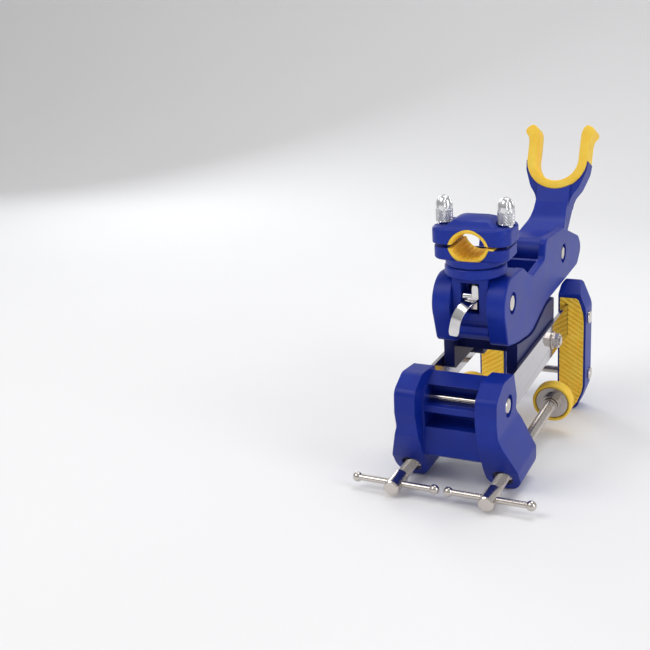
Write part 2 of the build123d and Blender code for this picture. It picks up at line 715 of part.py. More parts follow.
def cradleLiner():
    seat = cradle_r + cradle_liner
    core = seat + prong_core
    lip = cradle_r + cradle_rim
    side = [(cradle_r, 0), (cradle_r, prong_high), (cradle_r + 1.5, prong_high + 5),
            (cradle_r + 6, prong_high + 5), (lip + 4.5, prong_high),
            (lip + 4.5, prong_high - 4), (lip + 1, prong_high - 6), (lip, prong_high - 12),
            (lip, 0)]
    prong = plateY(side, [0.2, 12, 2, 4, 3, 2, 4, 6, 0.2], 0, cradle_deep)
    sleeve = prong + mirrored(prong)
    bowl_out = Circle(lip) - Pos(0, lip + 2) * Rectangle(2 * lip, 2 * lip)
    front = uSolid(bowl_out, Circle(cradle_r), 0, cradle_lip - seat_fit)
    back = uSolid(bowl_out, Circle(cradle_r), cradle_deep - cradle_lip + seat_fit, cradle_deep)
    low = Circle(seat - seat_fit) - Pos(0, cradle_out + 2) * Rectangle(80, 2 * cradle_out)
    channel = uSolid(low, Circle(cradle_r), 0, cradle_deep)
    body = sleeve + front + back + channel
    grow = uSolid(uOutline(core + 0.1, core + 0.1, prong_high - 5.8),
                  uOutline(seat - 0.1, seat - 0.1, prong_high), cradle_lip + 2.9,
                  cradle_deep - cradle_lip - 2.9)
    body -= grow & slab(-60, 60, 0, cradle_deep, -1, 80)
    return leaning(body)


parts["cradle"] = cradleBody()
parts["cradle_liner"] = cradleLiner()


def hingeBolt():
    end = arm_out - 0.5
    bolt = rodX(hinge_r, -end, end, hinge_y, hinge_z)
    return bolt + rodX(rivet_head_r, -end, -end + rivet_head - 0.3, hinge_y, hinge_z)


def hingeNut():
    end = arm_out - 0.5
    nut = hexX(rivet_head_r * 1.7, end - rivet_head + 0.3, end, hinge_y, hinge_z)
    return nut - rodX(hinge_r + seat_fit, 0, end + 1, hinge_y, hinge_z)


parts["cradle_bolt"] = hingeBolt()
parts["cradle_nut"] = hingeNut()

# ---- stand the holder on the bosses and the jaw tips, middle of its outline at X = Y = 0


turned = {name: Rot(stand_angle, 0, 0) * shape for name, shape in parts.items()}
boxes = [shape.bounding_box() for shape in turned.values()]
mid_y = (min(b.min.Y for b in boxes) + max(b.max.Y for b in boxes)) / 2
low_z = min(b.min.Z for b in boxes)
place = Pos(0, -mid_y, -low_z)


def stood(y, z):
    """Where a point of the clamp frame ends up, in mm."""
    a = radians(stand_angle)
    return round(y * cos(a) - z * sin(a) - mid_y, 3), round(y * sin(a) + z * cos(a) - low_z, 3)


if __name__ == "__main__":
    for name, shape in turned.items():
        export_step(place * shape, f"parts/{name}.step")
        extra = len(shape.solids()) - 1
        if extra:
            print("more than one solid in", name, extra + 1)
    print("stand angle", round(stand_angle, 4), "mid_y", round(mid_y, 3), "low_z", round(low_z, 3))
    for label, y, z in (("tilt pin", head_y, pin_z), ("cradle hinge", hinge_y, hinge_z),
                        ("lever pin", lever_y, lever_z), ("screw axis", 0, 0),
                        ("head seam", head_y, seam_z), ("jaw pad face", jaw_face, 0),
                        ("jaw rod", jaw_rod_y, jaw_rod_z), ("handle", handle_y, 0)):
        print(label, *stood(y, z))
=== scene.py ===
import json
from math import atan2, cos, pi, radians, sin, sqrt

import bmesh
import bpy
from mathutils import Matrix, Vector


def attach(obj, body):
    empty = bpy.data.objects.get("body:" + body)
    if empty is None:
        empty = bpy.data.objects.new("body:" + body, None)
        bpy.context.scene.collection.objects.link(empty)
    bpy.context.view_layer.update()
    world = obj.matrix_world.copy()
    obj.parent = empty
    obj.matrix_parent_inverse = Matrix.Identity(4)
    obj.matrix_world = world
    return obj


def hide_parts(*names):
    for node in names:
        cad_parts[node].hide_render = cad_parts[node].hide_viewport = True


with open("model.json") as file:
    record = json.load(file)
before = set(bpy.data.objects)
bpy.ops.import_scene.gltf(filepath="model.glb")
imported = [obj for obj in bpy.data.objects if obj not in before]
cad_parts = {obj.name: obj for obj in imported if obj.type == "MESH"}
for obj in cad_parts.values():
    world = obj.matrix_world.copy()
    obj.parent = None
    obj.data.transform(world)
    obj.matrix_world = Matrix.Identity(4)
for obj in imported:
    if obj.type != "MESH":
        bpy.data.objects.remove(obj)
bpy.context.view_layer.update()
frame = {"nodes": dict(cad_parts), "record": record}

nodes = frame["nodes"]
joints = {joint["name"]: joint for joint in frame["record"]["behaviour"]["joints"]}
sides = ((-1, "left"), (1, "right"))
print("frame loaded:", len(nodes), "nodes")

# the holder is drawn square to its bars and stands tilted, as the screw's axis says
screwAxis = joints["turn_right"]["axis"]
screwPoint = joints["turn_right"]["pos_m"]
stand = Matrix.Translation((0, screwPoint[1], screwPoint[2])) @ Matrix.Rotation(
    atan2(screwAxis[2], screwAxis[1]), 4, "X")


def placed(x, y, z):
    return stand @ Vector((x / 1000, y / 1000, z / 1000))


# ---- shader helpers

class Flow:
    # a shader value that can be used in sums
    def __init__(self, paint, socket):
        self.paint = paint
        self.socket = socket

    def sum(self, kind, first, second):
        return self.paint.node("ShaderNodeMath", {"operation": kind}, {0: first, 1: second})

    def __add__(self, other):
        return self.sum("ADD", self, other)

    def __radd__(self, other):
        return self.sum("ADD", other, self)

    def __sub__(self, other):
        return self.sum("SUBTRACT", self, other)

    def __rsub__(self, other):
        return self.sum("SUBTRACT", other, self)

    def __mul__(self, other):
        return self.sum("MULTIPLY", self, other)

    def __rmul__(self, other):
        return self.sum("MULTIPLY", other, self)

    def __truediv__(self, other):
        return self.sum("DIVIDE", self, other)

    def __rtruediv__(self, other):
        return self.sum("DIVIDE", other, self)

    def __pow__(self, other):
        return self.sum("POWER", self, other)


class Paint:
    # builds one node tree, for a material or the world
    def __init__(self, name, tree):
        self.name = name
        self.tree = tree
        tree.nodes.clear()

    def node(self, kind, settings, sockets, out=0):
        made = self.tree.nodes.new(kind)
        for key, value in settings.items():
            if key == "stops":
                ramp = made.color_ramp
                while len(ramp.elements) < len(value):
                    ramp.elements.new(0.5)
                for stop, (place, shade) in zip(ramp.elements, value):
                    stop.position = place
                    stop.color = (shade, shade, shade, 1)
            else:
                setattr(made, key, value)
        for key, value in sockets.items():
            if isinstance(value, Flow):
                self.tree.links.new(value.socket, made.inputs[key])
            elif isinstance(value, tuple) and len(value) == 3 and made.inputs[key].type == "RGBA":
                made.inputs[key].default_value = (*value, 1)
            else:
                made.inputs[key].default_value = value
        return Flow(self, made.outputs[out]) if made.outputs else made

    def spot(self):
        return self.node("ShaderNodeTexCoord", {}, {}, "Object")

    def noise(self, size, detail=3.0, rough=0.5, stretch=None):
        spot = self.spot()
        if stretch:
            spot = self.node("ShaderNodeMapping", {}, {"Vector": spot, "Scale": stretch})
        return self.node("ShaderNodeTexNoise", {}, {"Vector": spot, "Scale": 1 / size,
                                                    "Detail": detail, "Roughness": rough})

    def ramp(self, value, low, high):
        return self.node("ShaderNodeMapRange", {"clamp": True},
                         {"Value": value, "From Min": low, "From Max": high})

    def mix(self, mask, one, two):
        return self.node("ShaderNodeMix", {"data_type": "RGBA"}, {0: mask, 6: one, 7: two}, 2)

    def edges(self, size):
        # 0 on open faces, rising to 1 along corners
        soft = self.node("ShaderNodeBevel", {"samples": 4}, {"Radius": size})
        flat = self.node("ShaderNodeNewGeometry", {}, {}, "Normal")
        level = self.node("ShaderNodeVectorMath", {"operation": "DOT_PRODUCT"},
                          {0: soft, 1: flat}, "Value")
        return self.ramp(1 - level, 0.0, 0.25)

    def bump(self, height, depth, strength=1.0, normal=None):
        sockets = {"Height": height, "Distance": depth, "Strength": strength}
        if normal:
            sockets["Normal"] = normal
        return self.node("ShaderNodeBump", {}, sockets)

    def surface(self, sockets):
        shader = self.node("ShaderNodeBsdfPrincipled", {}, sockets)
        self.node("ShaderNodeOutputMaterial", {}, {"Surface": shader})


def material(name):
    made = bpy.data.materials.new(name)
    made.use_nodes = True
    return made, Paint(name, made.node_tree)


# ---- finishes

# the worn colour is a paler edge tone: partly rubbed wear, partly a painted highlight along the
# corners
blue = {"base": (0.0025, 0.018, 0.25), "pale": (0.004, 0.025, 0.31), "wearAndHighlight": (0.03, 0.05, 0.42),
        "rough": 0.34, "grain": 0.0005, "edge": 0.0009}
# a darker copy of the blue moulding: painted shade for the mouldings that sit in recesses and
# under the arms
shadedBlue = {"base": (0.006, 0.010, 0.09), "pale": (0.009, 0.015, 0.12), "wearAndHighlight": (0.03, 0.04, 0.25)}


def moulding(name, base, pale, wearAndHighlight):
    made, p = material(name)
    cloud = p.noise(0.03, 4.0, 0.6)
    grain = p.noise(blue["grain"], 2.0, 0.6)
    speck = p.ramp(p.noise(0.0016, 3.0, 0.7), 0.62, 0.72)
    edge = p.edges(blue["edge"])
    colour = p.mix(p.ramp(cloud, 0.35, 0.65), base, pale)
    # corners turn towards the worn colour through a noise mask: partly wear, partly a painted
    # highlight along the edges
    colour = p.mix(edge * p.ramp(p.noise(0.006, 4.0, 0.6), 0.38, 0.7) * 0.7, colour, wearAndHighlight)
    rough = blue["rough"] + 0.12 * cloud + 0.08 * speck - 0.05 * edge
    soft = p.node("ShaderNodeBevel", {"samples": 4}, {"Radius": blue["edge"]})
    p.surface({"Base Color": colour, "Roughness": rough, "Specular IOR Level": 0.28,
               "Normal": p.bump(grain + 0.4 * speck, 0.00005, 0.35, soft)})
    return made


rubber = {"base": (0.93, 0.57, 0.040), "pale": (0.96, 0.66, 0.075), "grime": (0.70, 0.38, 0.03),
          "rough": 0.52, "grain": 0.0007, "edge": 0.0008}


def yellowRubber(name):
    made, p = material(name)
    cloud = p.noise(0.012, 4.0, 0.6)
    grain = p.noise(rubber["grain"], 2.0, 0.6)
    edge = p.edges(rubber["edge"])
    colour = p.mix(p.ramp(cloud, 0.35, 0.65), rubber["base"], rubber["pale"])
    dusty = p.ramp(p.noise(0.004, 5.0, 0.7), 0.60, 0.80) * 0.25
    colour = p.mix(dusty, colour, rubber["grime"])
    # painted highlight: every edge is lightened towards the pale yellow
    colour = p.mix(edge * 0.4, colour, rubber["pale"])
    p.surface({"Base Color": colour, "Roughness": rubber["rough"] + 0.16 * cloud,
               "Specular IOR Level": 0.4, "Subsurface Weight": 0.08, "Subsurface Scale": 0.002,
               "Normal": p.bump(grain, 0.00008, 0.4)})
    return made


# grain and depth are in metres; stretch draws the grain out along an axis
metals = {
    "bar_steel": {"name": "barSteel", "tint": (0.56, 0.54, 0.56), "dull": (0.50, 0.48, 0.50),
                  "rough": 0.035, "grain": 0.0012, "stretch": (40.0, 1.0, 40.0),
                  "depth": 0.000004},
    "screw_steel": {"name": "screwSteel", "tint": (0.66, 0.61, 0.57), "dull": (0.42, 0.38, 0.34),
                    "rough": 0.15, "grain": 0.0008, "stretch": (1.0, 12.0, 1.0),
                    "depth": 0.00001},
    "bright_nickel": {"name": "brightNickel", "tint": (0.83, 0.83, 0.85), "dull": (0.6, 0.6, 0.62),
                      "rough": 0.12, "grain": 0.0008, "depth": 0.00001},
    "chrome_plate": {"name": "chromePlate", "tint": (0.74, 0.73, 0.74), "dull": (0.5, 0.49, 0.5),
                     "rough": 0.09, "grain": 0.001, "depth": 0.000008},
    "knurled_nickel": {"name": "knurledNickel", "tint": (0.66, 0.66, 0.68),
                       "dull": (0.42, 0.42, 0.44), "rough": 0.20, "grain": 0.0008,
                       "depth": 0.00001},
}


def brightMetal(name, tint, dull, rough, grain, depth, stretch=(1.0, 1.0, 1.0)):
    made, p = material(name)
    drawn = p.noise(grain, 3.0, 0.6, stretch)
    smudge = p.ramp(p.noise(0.014, 4.0, 0.6), 0.45, 0.75)
    edge = p.edges(0.0005)
    colour = p.mix(0.25 * smudge + 0.2 * drawn, tint, dull)
    p.surface({"Base Color": colour, "Metallic": 1.0,
               "Roughness": rough + 0.07 * drawn + 0.06 * smudge + 0.08 * edge,
               "Normal": p.bump(drawn, depth, 0.5)})
    return made


def nylon(name):
    made, p = material(name)
    cloud = p.noise(0.004)
    p.surface({"Base Color": p.mix(cloud, (0.70, 0.69, 0.65), (0.80, 0.79, 0.76)),
               "Roughness": 0.45 + 0.1 * cloud,
               "Normal": p.bump(p.noise(0.0006), 0.00005, 0.4)})
    return made


finishes = {
    "blue_moulding": moulding("blueMoulding", blue["base"], blue["pale"], blue["wearAndHighlight"]),
    "dark_moulding": moulding("shadedMoulding", shadedBlue["base"], shadedBlue["pale"], shadedBlue["wearAndHighlight"]),
    "yellow_rubber": yellowRubber("yellowRubber"),
    "white_nylon": nylon("whiteNylon"),
}
for slot, metal in metals.items():
    finishes[slot] = brightMetal(**metal)
print("finishes made:", len(finishes))

# ---- carried pieces keep their shape and take a finish

# how far each finish rounds an edge, in millimetres
soften = {"blue_moulding": 0.8, "yellow_rubber": 0.7, "dark_moulding": 0.5, "bar_steel": 0.25,
          "screw_steel": 0.2, "chrome_plate": 0.2, "bright_nickel": 0.2, "white_nylon": 0.2}
slotOf = {part["node"]: part["material_slot"] for part in frame["record"]["subparts"]}


def dress(node):
    piece = nodes[node]
    piece.data.materials.clear()
    piece.data.materials.append(finishes[slotOf[node]])
    weld = piece.modifiers.new("weld", "WELD")
    weld.merge_threshold = 0.00001
    bevel = piece.modifiers.new("softEdge", "BEVEL")
    bevel.width = soften[slotOf[node]] / 1000
    bevel.segments = 2
    bevel.limit_method = "ANGLE"
    bevel.angle_limit = radians(38)
    bevel.harden_normals = False
    level = piece.modifiers.new("level", "WEIGHTED_NORMAL")
    level.keep_sharp = False


for node in nodes:
    dress(node)
print("carried pieces dressed")

# ---- mesh helpers: points in millimetres, square to the bars


def rawMesh(name, points, faces):
    mesh = bpy.data.meshes.new(name)
    mesh.from_pydata([placed(*point) for point in points], [], faces)
    return mesh


def shadeSmooth(mesh, sharp):
    for face in mesh.polygons:
        face.use_smooth = True
    mesh.set_sharp_from_angle(angle=radians(sharp))


def meshPiece(name, points, faces, slot, body, replaced, sharp):
    mesh = rawMesh(name, points, faces)
    work = bmesh.new()
    work.from_mesh(mesh)
    bmesh.ops.remove_doubles(work, verts=work.verts, dist=0.000002)
    bmesh.ops.recalc_face_normals(work, faces=work.faces)
    work.to_mesh(mesh)
    work.free()
    shadeSmooth(mesh, sharp)
    mesh.materials.append(finishes[slot])
    piece = bpy.data.objects.new(name, mesh)
    bpy.context.collection.objects.link(piece)
    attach(piece, body)
    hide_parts(*replaced)
    return piece


def closedLathe(rings, count):
    # rings of count points each, closed round and capped at both ends
    faces = []
    for row in range(len(rings) - 1):
        for i in range(count):
            a, b = row * count + i, row * count + (i + 1) % count
            faces.append((a, b, b + count, a + count))
    faces.append(tuple(range(count - 1, -1, -1)))
    last = (len(rings) - 1) * count
    faces.append(tuple(range(last, last + count)))
    return [point for ring in rings for point in ring], faces


def cut(piece, tool, kind="DIFFERENCE"):
    # applies a boolean with a scratch object, which is then removed
    step = piece.modifiers.new("cut", "BOOLEAN")
    step.operation = kind
    step.solver = "EXACT"
    step.object = tool
    graph = bpy.context.evaluated_depsgraph_get()
    mesh = bpy.data.meshes.new_from_object(piece.evaluated_get(graph))
    piece.modifiers.remove(step)
    old = piece.data
    piece.data = mesh
    bpy.data.meshes.remove(old)
    bpy.data.objects.remove(tool)


def scratch(points, faces):
    mesh = rawMesh("scratch", points, faces)
    work = bmesh.new()
    work.from_mesh(mesh)
    bmesh.ops.recalc_face_normals(work, faces=work.faces)
    work.to_mesh(mesh)
    work.free()
    piece = bpy.data.objects.new("scratch", mesh)
    bpy.context.collection.objects.link(piece)
    return piece


# ---- clamp screws: hub, thread and tip

screw = {"x": 38.0, "r": 5.0, "root": 4.45, "pitch": 1.5, "start": -34.6, "end": 136.0,
         "tip": 140.0, "hubR": 6.3, "hubFront": -56.0, "hubBack": -34.0, "chamfer": 1.0,
         "handleY": -46.0, "handleR": 2.55, "boreHalf": 9, "around": 24}


def clampScrew(side, word):
    s = screw
    count = s["around"]
    x = side * s["x"]

    def ring(y, r):
        return [(x + r * cos(2 * pi * i / count), y, r * sin(2 * pi * i / count))
                for i in range(count)]

    hub = [(s["hubFront"], s["hubR"] - s["chamfer"]), (s["hubFront"] + s["chamfer"], s["hubR"]),
           (s["hubBack"] - s["chamfer"], s["hubR"]), (s["hubBack"], s["hubR"] - s["chamfer"]),
           (s["hubBack"], s["root"] - 0.3)]
    points, faces = closedLathe([ring(y, r) for y, r in hub], count)
    piece = meshPiece("clampScrew_" + word, points, faces, "screw_steel", "screw_" + word,
                      ["clamp_screw_" + word], 30)
    bore = [[(x + dx, s["handleY"] + s["handleR"] * cos(2 * pi * i / 24),
              s["handleR"] * sin(2 * pi * i / 24)) for i in range(24)]
            for dx in (-s["boreHalf"], s["boreHalf"])]
    cut(piece, scratch(*closedLathe(bore, 24)))
    rows = []
    turns = int((s["end"] - s["start"]) / s["pitch"])
    # four rows a turn: root, crest, crest, root
    for step in range(turns * 4 + 1):
        phase = step / 4
        deep = s["r"] if step % 4 in (1, 2) else s["root"]
        rows.append([(x + deep * cos(2 * pi * i / count),
                      s["start"] + s["pitch"] * (phase + i / count),
                      deep * sin(2 * pi * i / count)) for i in range(count + 1)])
    points = [point for row in rows for point in row]
    faces = []
    for row in range(len(rows) - 1):
        for i in range(count):
            a = row * (count + 1) + i
            faces.append((a, a + 1, a + count + 2, a + count + 1))
    thread = rawMesh("thread", points, faces)
    tipRings = [ring(s["end"] - 1.5, s["root"] - 0.1), ring(s["tip"] - 1, s["root"] - 0.1),
                ring(s["tip"], s["root"] - 1)]
    tip = rawMesh("tip", *closedLathe(tipRings, count))
    work = bmesh.new()
    work.from_mesh(piece.data)
    work.from_mesh(thread)
    work.from_mesh(tip)
    bmesh.ops.remove_doubles(work, verts=work.verts, dist=0.000002)
    loops = [edge for edge in work.edges if edge.is_boundary]
    bmesh.ops.holes_fill(work, edges=loops, sides=0)
    bmesh.ops.recalc_face_normals(work, faces=work.faces)
    work.to_mesh(piece.data)
    work.free()
    shadeSmooth(piece.data, 35)


for side, word in sides:
    clampScrew(side, word)
print("clamp screws threaded")

# ---- thumb nuts: knurled grip under a fluted dome

nut = {"x": 25.0, "y": 46.0, "low": 185.6, "r": 6.7, "neckR": 5.5, "neck": 2.4, "knurlLow": 3.4,
       "knurlHigh": 12.6, "knurl": 0.5, "diamonds": 20, "slant": 1.3, "domeLow": 13.8,
       "top": 23.0, "flutes": 6, "fluteDeep": 0.9, "row": 0.23, "domeRows": 18, "around": 156}


def thumbNut(side, word):
    n = nut
    count = n["around"]
    heights = [0.0, 0.3, n["neck"], n["neck"] + 0.01, n["neck"] + 0.5]
    z = n["knurlLow"]
    while z <= n["knurlHigh"]:
        heights.append(z)
        z += n["row"]
    heights += [n["knurlHigh"] + 0.3, n["knurlHigh"] + 0.6, n["domeLow"] - 0.4]
    dome = n["top"] - n["domeLow"]
    heights += [n["domeLow"] + dome * sin(pi / 2 * i / n["domeRows"])
                for i in range(n["domeRows"])]
    heights += [n["top"] - 0.06, n["top"]]
    rings = []
    for z in heights:
        ring = []
        for i in range(count):
            turn = 2 * pi * i / count
            if z <= n["neck"]:
                r = n["neckR"] - (0.3 if z == 0 else 0)
            elif z < n["knurlLow"]:
                r = n["r"] - (0.5 if z < n["neck"] + 0.4 else 0)
            elif z <= n["knurlHigh"]:
                up = abs(sin(n["diamonds"] / 2 * turn + n["slant"] * z))
                down = abs(sin(n["diamonds"] / 2 * turn - n["slant"] * z))
                r = n["r"] - n["knurl"] + n["knurl"] * 1.2 * min(up, down)
            elif z < n["domeLow"]:
                r = n["r"] - (0.5 if n["knurlHigh"] + 0.2 < z < n["domeLow"] - 0.5 else 0.1)
            else:
                rise = (z - n["domeLow"]) / dome
                r = (n["r"] - 0.1) * sqrt(max(0.0, 1 - 0.90 * rise ** 2.4))
                wave = max(0.0, cos(n["flutes"] * turn)) ** 4
                fade = min(1.0, rise / 0.35)
                r -= n["fluteDeep"] * wave * fade * r / n["r"]
            ring.append((side * n["x"] + r * cos(turn), n["y"] + r * sin(turn), n["low"] + z))
        rings.append(ring)
    points, faces = closedLathe(rings, count)
    piece = meshPiece("thumbNut_" + word, points, faces, "bright_nickel", "thumb_" + word,
                      ["thumb_nut_" + word], 40)
    piece.data.materials.append(finishes["knurled_nickel"])
    rows = [row for row, z in enumerate(heights) if n["knurlLow"] <= z <= n["knurlHigh"]]
    for face in piece.data.polygons[rows[0] * count:rows[-1] * count]:
        face.material_index = 1


for side, word in sides:
    thumbNut(side, word)
print("thumb nuts knurled")

# ---- jaw pads with slanting ribs

pad = {"face": 205.0, "back": 210.0, "rib": 1.0, "pitch": 4.0, "slope": 32.0, "left": 27.5,
       "right": 49.5, "top": 76.0, "tip": -34.0, "barIn": 31.8, "barOut": 35.2, "barLow": 39.8,
       "barHigh": 70.2, "ribs": 24, "reach": 90, "midX": 38.0, "midZ": 20.0, "soft": 0.22}


def jawPad(side, word):
    p = pad
    outline = [(p["left"], p["top"]), (p["left"], -12), (p["left"] + 1.5, -24), (34, -33.2),
               (38, p["tip"]), (41, -33.2), (44.5, -28), (48, -19), (p["right"], -12),
               (p["right"], 52), (48.6, 61), (46.5, 69), (44.3, 74.5), (42, p["top"])]
    slope = radians(p["slope"])
    along, across = (cos(slope), -sin(slope)), (sin(slope), cos(slope))
    points, faces = [], []
    valley = p["face"] + p["rib"]
    profile = []
    for step in range(-p["ribs"], p["ribs"] + 1):
        for share, y in ((0, valley), (0.30, p["face"]), (0.62, p["face"]), (0.92, valley)):
            profile.append(((step + share) * p["pitch"], y))
    profile += [(profile[-1][0], p["back"] + 2), (profile[0][0], p["back"] + 2)]
    for far in (-p["reach"], p["reach"]):
        for v, y in profile:
            points.append((side * (p["midX"] + far * along[0] + v * across[0]), y,
                           p["midZ"] + far * along[1] + v * across[1]))
    count = len(profile)
    for i in range(count):
        faces.append((i, (i + 1) % count, count + (i + 1) % count, count + i))
    faces += [tuple(range(count - 1, -1, -1)), tuple(range(count, 2 * count))]
    piece = meshPiece("jawPad_" + word, points, faces, "yellow_rubber", "clamp",
                      ["jaw_pad_" + word], 25)
    prism = [(side * x, y, z) for y in (p["face"] - 1, p["back"]) for x, z in outline]
    size = len(outline)
    walls = [(i, (i + 1) % size, size + (i + 1) % size, size + i) for i in range(size)]
    caps = [tuple(range(size - 1, -1, -1)), tuple(range(size, 2 * size))]
    cut(piece, scratch(prism, walls + caps), "INTERSECT")
    bar = [(side * x, y, z) for y in (p["face"] - 3, p["back"] + 3)
           for x, z in ((p["barIn"], p["barLow"]), (p["barOut"], p["barLow"]),
                        (p["barOut"], p["barHigh"]), (p["barIn"], p["barHigh"]))]
    cut(piece, scratch(bar, [(0, 1, 2, 3), (7, 6, 5, 4), (0, 4, 5, 1), (1, 5, 6, 2), (2, 6, 7, 3),
                             (3, 7, 4, 0)]))
    piece.data.materials.clear()
    piece.data.materials.append(finishes["yellow_rubber"])
    for face in piece.data.polygons:
        face.use_smooth = False
    bevel = piece.modifiers.new("softEdge", "BEVEL")
    bevel.width = p["soft"] / 1000
    bevel.segments = 2
    bevel.limit_method = "ANGLE"
    bevel.angle_limit = radians(30)


for side, word in sides:
    jawPad(side, word)
print("jaw pads ribbed")

# ---- rubber boots on the screw pads

boot = {"x": 38.0, "front": 136.0, "back": 148.0, "r": 17.5, "inner": 15.05, "round": 1.4,
        "ring": 0.6, "ringPitch": 3.0, "groove": 0.45, "floor": 3.9, "around": 72}


def padBoot(side, word):
    b = boot
    count = b["around"]
    soft = b["round"]
    line = [(b["inner"], b["front"] + 3), (b["inner"], b["front"] + 0.6),
            (b["inner"] + 0.5, b["front"])]
    bends = [pi / 2 * i / 5 for i in range(6)]
    line += [(b["r"] - soft + soft * sin(bend), b["front"] + soft - soft * cos(bend))
             for bend in bends]
    groove = b["r"] - b["groove"]
    line += [(b["r"], b["front"] + 4.6), (groove, b["front"] + 5.0),
             (groove, b["front"] + 5.6), (b["r"], b["front"] + 6.0)]
    line += [(b["r"] - soft + soft * cos(bend), b["back"] - soft + soft * sin(bend))
             for bend in bends]
    r = b["r"] - soft - 1.2
    while r > 2.0:
        floor = b["back"] - b["ring"]
        line += [(r, b["back"]), (r - 0.5, floor), (r - 1.3, floor), (r - 1.8, b["back"])]
        r -= b["ringPitch"]
    line.append((0.6, b["back"]))
    inner = [(0.6, b["back"] - b["floor"]), (b["inner"], b["back"] - b["floor"])]
    rings = [[(side * b["x"] + r * cos(2 * pi * i / count), y, r * sin(2 * pi * i / count))
              for i in range(count)] for r, y in line + inner]
    points = [point for ring in rings for point in ring]
    faces = []
    rows = len(rings)
    for row in range(rows):
        nextRow = (row + 1) % rows
        for i in range(count):
            j = (i + 1) % count
            faces.append((row * count + i, row * count + j, nextRow * count + j,
                          nextRow * count + i))
    piece = meshPiece("padBoot_" + word, points, faces, "yellow_rubber", "pad_" + word,
                      ["pad_boot_" + word], 35)


for side, word in sides:
    padBoot(side, word)
print("pad boots turned")

# ---- rod clamp liners, studded inside

liner = {"y": 27.0, "deep": 38.0, "r": 14.3, "wall": 2.8, "shift": 3.3, "seam": 172.6, "gap": 3.0,
         "stud": 0.95, "studPitch": 3.6, "round": 0.7, "edge": 0.35, "endBare": 2.2,
         "endFade": 1.2, "sideBare": 2.0, "sideFade": 1.5, "tabOut": 20.5, "across": 84,
         "along": 96}


def gripLiner(side, name, body, node):
    g = liner
    centre = g["seam"] - side * g["shift"]
    reach = g["shift"] + g["gap"] / 2
    innerEnd = atan2(reach, sqrt(g["r"] ** 2 - reach ** 2))
    outer = g["r"] + g["wall"]
    outerEnd = atan2(reach, sqrt(outer ** 2 - reach ** 2))
    across, along = g["across"], g["along"]
    points, faces = [], []
    for layer in (0, 1):
        r, end = ((g["r"], innerEnd), (outer, outerEnd))[layer]
        for row in range(along + 1):
            y = g["y"] + g["deep"] * row / along
            lip = min(y - g["y"], g["y"] + g["deep"] - y)
            for i in range(across + 1):
                turn = end + (pi - 2 * end) * i / across
                if layer:
                    radius = r - max(0, g["edge"] - lip)
                else:
                    arc = (turn - pi / 2) * r
                    u, v = arc / g["studPitch"], y / g["studPitch"]
                    lump = max(0.0, cos(pi * (u + v)) * cos(pi * (u - v))) ** 1.4
                    fromSide = min(i, across - i) * (pi - 2 * end) / across * r
                    lump *= min(1.0, max(0.0, (lip - g["endBare"]) / g["endFade"]))
                    lump *= min(1.0, max(0.0, (fromSide - g["sideBare"]) / g["sideFade"]))
                    radius = r + g["round"] * max(0.0, 1 - lip) ** 2 - g["stud"] * lump
                points.append((radius * cos(turn), y, centre + side * radius * sin(turn)))
    size = (along + 1) * (across + 1)
    for layer in (0, 1):
        for row in range(along):
            for i in range(across):
                a = layer * size + row * (across + 1) + i
                faces.append((a, a + 1, a + across + 2, a + across + 1))
    for row in range(along):
        for i in (0, across):
            a = row * (across + 1) + i
            faces.append((a, a + across + 1, size + a + across + 1, size + a))
    for i in range(across):
        for row in (0, along):
            a = row * (across + 1) + i
            faces.append((a, a + 1, size + a + 1, size + a))
    if side < 0:
        left, right = sqrt(g["r"] ** 2 - reach ** 2) + 0.8, g["tabOut"]
        low = g["seam"] - g["gap"] / 2
        first = len(points)
        for y in (g["y"] + 0.2, g["y"] + g["deep"] - 0.2):
            points += [(left, y, low - 0.4), (right, y, low), (right + 0.3, y, low + 0.8),
                       (right - 0.3, y, low + 1.4), (left + 0.8, y, low + 1.3),
                       (left, y, low + 0.4)]
        faces += [(first + i, first + (i + 1) % 6, first + 6 + (i + 1) % 6, first + 6 + i)
                  for i in range(6)]
        faces.append(tuple(first + i for i in range(5, -1, -1)))
        faces.append(tuple(first + 6 + i for i in range(6)))
    piece = meshPiece(name, points, faces, "yellow_rubber", body, [node], 45)


gripLiner(-1, "gripLinerLower", "turret", "liner_lower")
gripLiner(1, "gripLinerUpper", "cap", "liner_upper")
print("grip liners studded")

# ---- cradle liner, curled outward at the tips

cradle = {"y": 298.0, "z": 187.0, "lean": 24.0, "deep": 24.0, "r": 21.0, "lip": 8.5, "seat": 3.4,
          "rim": 1.9, "round": 1.0, "seam": -0.8, "around": 48,
          "tip": [(14, 21.0, 29.5), (17, 21.0, 29.6), (20, 21.0, 30.0), (22.5, 21.05, 31.0),
                  (24.3, 21.15, 32.5), (25.8, 21.3, 33.5), (27.4, 21.6, 34.0), (29.2, 22.1, 33.8),
                  (30.8, 22.8, 32.8), (32.2, 23.7, 31.2), (33.2, 24.8, 29.4), (33.7, 26.0, 28.0)]}


